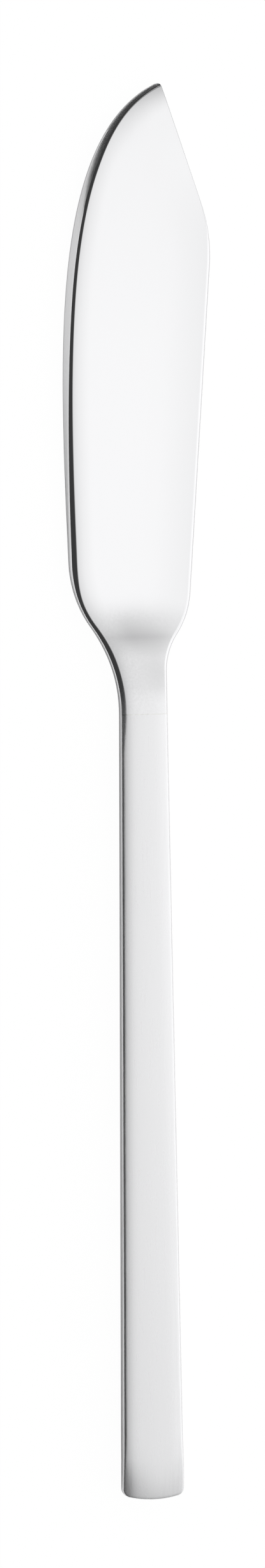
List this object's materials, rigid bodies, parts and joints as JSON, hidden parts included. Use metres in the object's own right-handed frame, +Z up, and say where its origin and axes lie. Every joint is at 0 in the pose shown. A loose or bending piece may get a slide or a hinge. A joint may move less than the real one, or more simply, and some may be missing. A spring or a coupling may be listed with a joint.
{
  "type": "fish knife",
  "caption": "Slim metal fish knife: wide flat blade with a curved bevelled edge and a straight back running to a point, on a narrow flat-sided hollow handle.",
  "frame": {"origin": "on the table, in the middle of the handle's flat underside, half way from the butt to the handle's mouth", "axes": "+Y along the knife to the tip, +X to the straight back of the blade, +Z up from the table, with the knife lying flat"},
  "size_m": [0.0221, 0.208, 0.0045],
  "materials": {
    "polished_steel": "mirror-polished stainless steel",
    "satin_steel": "stainless steel brushed along the handle",
    "cutlers_cement": "cast cement, never seen",
    "silver_braze": "silver braze, filed flush"
  },
  "bodies": {
    "root": {"blade": "polished_steel", "handle_top_shell": "satin_steel", "handle_bottom_shell": "satin_steel", "handle_filler": "cutlers_cement", "braze_ring": "silver_braze"}
  },
  "joints": []
}
